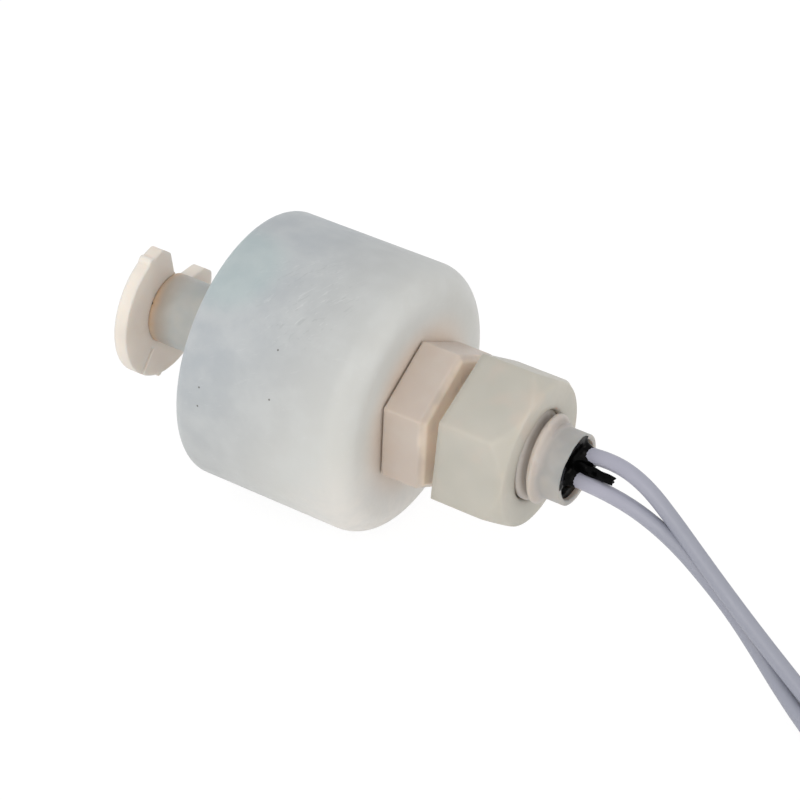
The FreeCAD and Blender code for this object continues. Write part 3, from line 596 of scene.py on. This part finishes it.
def bmesh_piece(shape, name):
    mesh = bpy.data.meshes.new(name)
    shape.to_mesh(mesh)
    shape.free()
    return link_piece(name, mesh)


def carve(piece, other, how):
    """Joins, cuts or keeps what the piece shares with the other, which is then deleted."""
    work = piece.modifiers.new("carve", "BOOLEAN")
    work.operation = how
    work.solver = "EXACT"
    work.object = other
    applied(piece)
    mesh = other.data
    bpy.data.objects.remove(other)
    bpy.data.meshes.remove(mesh)


def soften(piece, edge, segments=3):
    """Gives the edges the small radius that a mould leaves, in millimetres."""
    softened = piece.modifiers.new("edges", "BEVEL")
    softened.width = edge * MM
    softened.segments = segments
    softened.limit_method = "ANGLE"
    softened.angle_limit = math.radians(24)
    applied(piece)


def make_nut(material):
    """The nut: plain towards the flange, its corners cut back towards the stud's end."""
    nut = hexagon("moulded_nut", NUT_FLATS, NUT_LOW.x, NUT_HIGH.x, NUT_TURN, 0.06 * MM, 0.06 * MM)
    corner = NUT_FLATS / 2 / math.cos(math.pi / 6)
    face = NUT_FLATS / 2 * NUT_FACE
    cone_start = NUT_HIGH.x - (corner - face) * NUT_CONE
    corners = turned("corner_cut", [(NUT_LOW.x - MM, corner * 1.1), (cone_start, corner * 1.01),
                                    (NUT_HIGH.x, face), (NUT_HIGH.x + MM, face * 0.7)])
    carve(nut, corners, "INTERSECT")
    wide = NUT_BORE_R + NUT_SINK + MM
    bore = turned("nut_bore", [(NUT_LOW.x - MM, wide), (NUT_LOW.x + NUT_SINK, NUT_BORE_R),
                               (NUT_HIGH.x - NUT_SINK, NUT_BORE_R), (NUT_HIGH.x + MM, wide)])
    carve(nut, bore, "DIFFERENCE")
    soften(nut, HEXAGON_EDGE)
    nut.data.materials.append(material)
    shaded(nut, 36)
    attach(nut, "nut")
    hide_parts("hex_nut")
    return nut


def moulding(node, name, body, material, edge, segments=2):
    """A moulded piece that replaces its plain solid, with a small radius on every edge."""
    piece = merged_copy(node, name)
    soften(piece, edge, segments)
    piece.data.materials.append(material)
    shaded(piece, 40)
    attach(piece, body)
    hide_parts(node)
    return piece


def ease_face(piece, face, gap):
    """Sets a face across the stem back by a gap in millimetres."""
    for vertex in piece.data.vertices:
        if vertex.co.x > face - 0.1 * MM:
            vertex.co.x -= gap * MM


def thread_tool():
    """Geometry nodes that cut a right-hand thread of 60 degree flanks into the stud."""
    tree = bpy.data.node_groups.new("stud_thread", "GeometryNodeTree")
    for label, kind in (("Geometry", "NodeSocketGeometry"), ("Pitch", "NodeSocketFloat"),
                        ("Root radius", "NodeSocketFloat"), ("Turns", "NodeSocketFloat"),
                        ("Start", "NodeSocketVector"), ("Phase", "NodeSocketFloat"),
                        ("Plastic", "NodeSocketMaterial")):
        tree.interface.new_socket(label, in_out="INPUT", socket_type=kind)
    tree.interface.new_socket("Geometry", in_out="OUTPUT", socket_type="NodeSocketGeometry")
    given = tree.nodes.new("NodeGroupInput").outputs
    height = count(tree, "MULTIPLY", given["Pitch"], given["Turns"])
    spiral = add(tree, "GeometryNodeCurveSpiral", Resolution=72, Rotations=given["Turns"], Reverse=True,
                 Start_Radius=given["Root radius"], End_Radius=given["Root radius"], Height=height)
    upright = add(tree, "GeometryNodeSetCurveNormal", {"mode": "Z_UP"}, Curve=spiral.outputs[0])
    mouth = count(tree, "MULTIPLY", given["Pitch"], GROOVE_MOUTH)
    root = count(tree, "MULTIPLY", given["Pitch"], GROOVE_ROOT)
    deep = count(tree, "MULTIPLY", given["Pitch"], GROOVE_DEPTH)
    corners = []
    for across, out in ((root, 0.0), (mouth, deep), (count(tree, "MULTIPLY", mouth, -1.0), deep),
                        (count(tree, "MULTIPLY", root, -1.0), 0.0)):
        corners.append(add(tree, "ShaderNodeCombineXYZ", X=out, Y=across).outputs[0])
    profile = add(tree, "GeometryNodeCurvePrimitiveQuadrilateral", {"mode": "POINTS"})
    for label, corner in zip(("Point 1", "Point 2", "Point 3", "Point 4"), corners):
        tree.links.new(corner, profile.inputs[label])
    swept = add(tree, "GeometryNodeCurveToMesh", Curve=upright.outputs[0],
                Profile_Curve=profile.outputs[0], Fill_Caps=True)
    outward = add(tree, "GeometryNodeFlipFaces", Mesh=swept.outputs[0])
    # The spiral climbs along Z, so it is turned to lie along the stud.
    spun = add(tree, "ShaderNodeCombineXYZ", Z=given["Phase"])
    phased = add(tree, "GeometryNodeTransform", Geometry=outward.outputs[0], Rotation=spun.outputs[0])
    laid = add(tree, "GeometryNodeTransform", Geometry=phased.outputs[0], Translation=given["Start"],
               Rotation=(0.0, math.pi / 2, 0.0))
    cut = add(tree, "GeometryNodeMeshBoolean", {"operation": "DIFFERENCE", "solver": "EXACT"},
              Mesh_1=given["Geometry"], Mesh_2=laid.outputs[0])
    whole = add(tree, "GeometryNodeRealizeInstances", Geometry=cut.outputs[0])
    painted = add(tree, "GeometryNodeSetMaterial", Geometry=whole.outputs[0], Material=given["Plastic"])
    result = tree.nodes.new("NodeGroupOutput")
    tree.links.new(painted.outputs[0], result.inputs[0])
    return tree


def give(modifier, tree, label, value):
    """Sets a geometry nodes modifier's input by its name."""
    socket = next(s for s in tree.interface.items_tree if s.name == label and s.in_out == "INPUT")
    modifier[socket.identifier] = value


def make_stem(material):
    """The stem, its flange redrawn with straight edges and its stud threaded."""
    stem = merged_copy("stem_body", "moulded_stem")
    back = SEAT - FLANGE_THICKNESS
    room = turned("flange_room", [(back - 0.01 * MM, FLANGE_FLATS), (SEAT + 0.01 * MM, FLANGE_FLATS)])
    core = [(back - MM, FLANGE_CORE_R), (SEAT + MM, FLANGE_CORE_R)]
    carve(room, turned("flange_core", core), "DIFFERENCE")
    carve(stem, room, "DIFFERENCE")
    flange = hexagon("flange", FLANGE_FLATS, back, SEAT, FLANGE_TURN, 0.15 * MM, FLANGE_CHAMFER)
    soften(flange, HEXAGON_EDGE)
    carve(flange, turned("flange_core", [(x, r - 0.2 * MM) for x, r in core]), "DIFFERENCE")
    carve(stem, flange, "UNION")
    tree = thread_tool()
    cutting = stem.modifiers.new("thread", "NODES")
    cutting.node_group = tree
    for label, value in (("Pitch", PITCH), ("Root radius", ROOT_R),
                         ("Turns", (THREAD_END - THREAD_START) / PITCH),
                         ("Start", (THREAD_START, AXIS_Y, AXIS_Z)), ("Phase", THREAD_PHASE),
                         ("Plastic", material)):
        give(cutting, tree, label, value)
    stem.data.materials.append(material)
    applied(stem)
    shaded(stem, 32)
    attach(stem, "switch_body")
    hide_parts("stem_body")
    return stem


def eased(share):
    """A smooth step from 0 to 1."""
    share = min(max(share, 0.0), 1.0)
    return share * share * (3 - 2 * share)


def resin_side(turn):
    """One where the resin has wetted the cup's rim, zero on the side where it has sunk."""
    return eased((math.cos(turn - math.radians(118)) - 0.17) / 0.32)


def resin_height(across, up):
    """How far the resin's face stands off its level, in millimetres, at a place in the cup.

    It has sunk where it cured last, climbs the wall and both leads, and has a burst bubble."""
    out = math.hypot(across, up)
    wet = resin_side(math.atan2(up, across))
    climb = eased((out - 1.3) / 1.4)
    level = 0.1 + climb * (0.1 + 0.42 * wet)
    bubble = math.hypot(across + 1.52, up + 1.2)
    level -= 0.5 * math.exp(-(bubble / 0.42) ** 4)
    level += 0.14 * math.exp(-((bubble - 0.56) / 0.11) ** 2)
    for side, lift in RESIN_COLLARS:
        y, z = side * math.cos(LEADS_TURN), side * math.sin(LEADS_TURN)
        gap = max(0.0, math.hypot(across - y, up - z) - LEAD_R / MM)
        level += lift * math.exp(-gap / 0.16) + 0.25 * math.exp(-(gap / 0.5) ** 2)
    level += 0.05 * math.sin(2.3 * across + 1.1) * math.cos(2.9 * up - 0.4)
    return level


def add_tongue(shape):
    """A ragged tongue of resin that ran out between the leads and lies on the lower one."""
    rings, spokes = 26, 24
    start, end = Vector((21.3, 0.28, 12.7)), Vector((25.75, -0.2, 12.85))
    rows = []
    for ring in range(rings + 1):
        share = ring / rings
        centre = start.lerp(end, share) + Vector((0, 0, -0.14 * math.sin(math.pi * share)))
        tall = 0.7 - 0.3 * share
        wide = 0.5 - 0.2 * share
        row = []
        for spoke in range(spokes):
            turn = math.tau * spoke / spokes
            ragged = 1 + 0.1 * math.sin(7 * share + 3 * turn) + 0.07 * math.sin(17 * share - 2 * turn)
            jag = 0.3 * eased((share - 0.75) / 0.25) * math.sin(2.5 * turn + 0.8) * math.cos(turn)
            edge = Vector((jag, wide * ragged * math.cos(turn), tall * ragged * math.sin(turn)))
            row.append(shape.verts.new((edge + centre) * MM))
        rows.append(row)
    join_rings(shape, rows)
    for row, shift in ((rows[0], -0.2), (rows[-1], 0.05)):
        middle = sum((v.co for v in row), Vector()) / spokes + Vector((shift * MM, 0, 0))
        tip = shape.verts.new(middle)
        for k in range(spokes):
            shape.faces.new((row[k], row[(k + 1) % spokes], tip))


def make_resin(material):
    """The resin's body in the cup, with the film that wets the rim, and the tongue between the leads."""
    rings, spokes = 60, 128
    shape = bmesh.new()
    wall = CUP_R - RESIN_GAP
    rim = STUB_END - RESIN_FACE
    rows = []
    for ring in range(1, rings + 1):
        row = []
        for spoke in range(spokes):
            turn = math.tau * spoke / spokes
            wet = resin_side(turn)
            film = 0.36 + 0.05 * math.sin(5 * turn + 1) + 0.03 * math.sin(11 * turn)
            out = (wall + wet * film * MM) * ring / rings
            across, up = out * math.cos(turn), out * math.sin(turn)
            level = resin_height(across / MM, up / MM) * MM
            if out > CUP_R - 0.06 * MM:
                level = max(level, wet * (rim + 0.03 * MM))
            row.append(shape.verts.new((RESIN_FACE + level, AXIS_Y + across, AXIS_Z + up)))
        rows.append(row)
    middle = shape.verts.new((RESIN_FACE + resin_height(0, 0) * MM, AXIS_Y, AXIS_Z))
    skirt, back = [], []
    for k, v in enumerate(rows[-1]):
        turn = math.tau * k / spokes
        y, z = AXIS_Y + wall * math.cos(turn), AXIS_Z + wall * math.sin(turn)
        skirt.append(shape.verts.new((min(v.co.x, STUB_END) - 0.02 * MM, v.co.y, v.co.z)))
        back.append(shape.verts.new((RESIN_BACK, y, z)))
    end = shape.verts.new((RESIN_BACK, AXIS_Y, AXIS_Z))
    for k in range(spokes):
        after = (k + 1) % spokes
        shape.faces.new((middle, rows[0][k], rows[0][after]))
        for inner, outer in zip(rows, rows[1:]):
            shape.faces.new((inner[k], outer[k], outer[after], inner[after]))
        shape.faces.new((rows[-1][k], skirt[k], skirt[after], rows[-1][after]))
        shape.faces.new((skirt[k], back[k], back[after], skirt[after]))
        shape.faces.new((end, back[after], back[k]))
    add_tongue(shape)
    bmesh.ops.recalc_face_normals(shape, faces=shape.faces)
    resin = bmesh_piece(shape, "cured_resin")
    resin.data.materials.append(material)
    shaded(resin, 60)
    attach(resin, "switch_body")
    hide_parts("potting")
    return resin


def coil_points(turns, crossings, leaves):
    """A lead's turns in the coil, from its entry to where it leaves, as points in millimetres."""
    last = leaves + 360 * (len(turns) - 1)
    step = 360 / STEPS_A_TURN
    points = []
    for k in range(int((last - COIL_ENTRY) / step) + 1):
        angle = COIL_ENTRY + k * step
        turn = int((angle - COIL_ENTRY) // 360)
        here = angle - 360 * turn
        radius, height = turns[turn]
        if turn + 1 < len(turns):
            share = eased((here - crossings[turn]) / CROSS_WIDTH)
            radius += (turns[turn + 1][0] - radius) * share
            height += (turns[turn + 1][1] - height) * share
        height += TIE_LIFT * eased(1.6 - abs(here - TIE_TURN) / 22)
        at, out = math.radians(angle), radius / CHORD
        points.append((COIL_X + out * math.cos(at), COIL_Y + out * math.sin(at), height))
    return points


def tail_points(turns, leaves, run):
    """A lead's free end: points ahead of where it leaves the coil, and their heights, in millimetres."""
    at, radius = math.radians(leaves), turns[-1][0]
    return [(COIL_X + radius * math.cos(at) - ahead * math.sin(at),
             COIL_Y + radius * math.sin(at) + ahead * math.cos(at), height) for ahead, height in run]


def make_lead(name, points, material):
    """A lead, in one smooth line from the resin to its bared end."""
    line = bpy.data.curves.new(name, "CURVE")
    line.dimensions = "3D"
    spline = line.splines.new("NURBS")
    spline.points.add(len(points) - 1)
    for point, (x, y, z) in zip(spline.points, points):
        point.co = (x * MM, y * MM, z * MM, 1)
    spline.order_u = 3
    spline.use_endpoint_u = True
    line.resolution_u = 8
    line.bevel_depth = LEAD_R
    line.bevel_resolution = 5
    line.use_fill_caps = True
    line.materials.append(material)
    lead = link_piece(name, line)
    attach(lead, "switch_body")
    return lead


def finish_node(node, material):
    """Gives a solid that keeps its own shape its material."""
    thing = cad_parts[node]
    thing.data.materials.clear()
    thing.data.materials.append(material)


def make_stage():
    """A pale bench that shows white to the camera and keeps the switch's soft shadow."""
    bpy.ops.mesh.primitive_plane_add(size=4.0, location=(0, 0, -0.0002))
    floor = bpy.context.object
    floor.name = "bench"
    material = bpy.data.materials.new("pale_bench")
    material.use_nodes = True
    tree = material.node_tree
    tree.nodes.clear()
    plain = add(tree, "ShaderNodeBsdfDiffuse", Color="#f2f2f2")
    glow = add(tree, "ShaderNodeEmission", Color="#ffffff", Strength=0.9)
    faint = add(tree, "ShaderNodeBsdfDiffuse", Color="#6c6c6c")
    white = add(tree, "ShaderNodeAddShader", i0=glow.outputs[0], i1=faint.outputs[0])
    path = add(tree, "ShaderNodeLightPath")
    seen = count(tree, "MAXIMUM", path.outputs["Is Camera Ray"], path.outputs["Is Glossy Ray"])
    seen = count(tree, "MAXIMUM", seen, path.outputs["Is Transmission Ray"])
    choice = add(tree, "ShaderNodeMixShader", Fac=seen, i1=plain.outputs[0], i2=white.outputs[0])
    add(tree, "ShaderNodeOutputMaterial", Surface=choice.outputs[0])
    floor.data.materials.append(material)


def light_studio():
    """A pale room and four soft lamps, at a level where colours show about as they are written."""
    world = bpy.data.worlds.new("studio")
    bpy.context.scene.world = world
    world.use_nodes = True
    tree = world.node_tree
    tree.nodes.clear()
    path = add(tree, "ShaderNodeLightPath")
    soft = add(tree, "ShaderNodeBackground", Color="#ffffff", Strength=0.76)
    white = add(tree, "ShaderNodeBackground", Color="#ffffff", Strength=1.0)
    seen = count(tree, "MAXIMUM", path.outputs["Is Camera Ray"], path.outputs["Is Transmission Ray"])
    choice = add(tree, "ShaderNodeMixShader", Fac=seen, i1=soft.outputs[0], i2=white.outputs[0])
    add(tree, "ShaderNodeOutputWorld", Surface=choice.outputs[0])
    for name, place, size, power, tint in (
            ("key_lamp", (0.14, -0.46, 0.40), 0.34, 0.9, "#fff9f0"),
            ("fill_lamp", (-0.45, -0.30, 0.30), 0.40, 0.25, "#f0f6ff"),
            ("end_lamp", (0.55, 0.10, 0.20), 0.25, 0.55, "#fff6ea"),
            ("low_lamp", (0.10, -0.50, 0.04), 0.30, 0.3, "#fff8f0")):
        data = bpy.data.lights.new(name, "AREA")
        data.size = size
        data.energy = power
        data.color = linear(tint)[:3]
        lamp = bpy.data.objects.new(name, data)
        lamp.location = place
        lamp.rotation_euler = (Vector((0, 0, AXIS_Z)) - Vector(place)).to_track_quat("-Z", "Y").to_euler()
        bpy.context.collection.objects.link(lamp)


place_camera()
insulation = lead_insulation()
lead_a_points = [LEAD_A_START, *LEAD_A_ROUTE, *coil_points(LEAD_A_TURNS, CROSS_A, LEAD_A_LEAVES),
                 *tail_points(LEAD_A_TURNS, LEAD_A_LEAVES, TAIL_A_RUN)]
lead_b_points = [LEAD_B_START, *LEAD_B_ROUTE, *coil_points(LEAD_B_TURNS, CROSS_B, LEAD_B_LEAVES),
                 *tail_points(LEAD_B_TURNS, LEAD_B_LEAVES, TAIL_B_RUN)]
lead_one = make_lead("insulated_lead_a", lead_a_points, insulation)
lead_two = make_lead("insulated_lead_b", lead_b_points, insulation)
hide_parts("lead_a", "lead_coil")
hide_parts("lead_b")

stem_plastic = stem_polypropylene()
# The clip's colours are painted lighter than the nut's, against the shade that the float casts on its
# face.
clip_plastic = natural_polypropylene("clip_polypropylene", "#ece4db", "#e2dad1", (1.0, 0.76, 0.58), 0.3)
nut_plastic = natural_polypropylene("nut_polypropylene", "#c0bdb4", "#b7b5ac", (1.0, 0.85, 0.7), 0.9)
make_stem(stem_plastic)
clip = moulding("retaining_clip", "snap_clip", "switch_body", clip_plastic, CLIP_EDGE, 3)
ease_face(clip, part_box("retaining_clip")[1].x, CLIP_GAP)
make_nut(nut_plastic)
float_plastic = float_polypropylene()
moulding("float_shell", "float_hull", "float", float_plastic, FLOAT_EDGE)
moulding("float_end_cap", "float_cap", "float", float_plastic, FLOAT_EDGE)
make_resin(potting_resin())

tinned = metal("tinned_copper", "#c9c6c0", "#a9a49c", 0.25, 0.3)
solder = metal("frozen_solder", "#b9bbbe", "#97999c", 0.32, 0.4)
plated = metal("plated_nickel_iron", "#b3aea4", "#9a958b", 0.22, 0.5)
for node, material in (
        ("float_magnet", ferrite()), ("reed_glass", capsule_glass()),
        ("reed_blade_near", plated), ("reed_blade_far", plated),
        ("return_wire", tinned), ("lead_a_core", tinned), ("lead_b_core", tinned),
        ("lead_a_tip", tinned), ("lead_b_tip", tinned),
        ("solder_near", solder), ("solder_return", solder), ("solder_far", solder),
        ("return_sleeve", smooth_plastic("silicone_sleeve", "#e4e2dc", "#d8d5cd", 0.5)),
        ("coil_tie", smooth_plastic("nylon_tie", "#e9e9e6", "#dcdcd8", 0.4))):
    finish_node(node, material)

make_stage()
light_studio()
bpy.context.scene.view_settings.view_transform = "Standard"
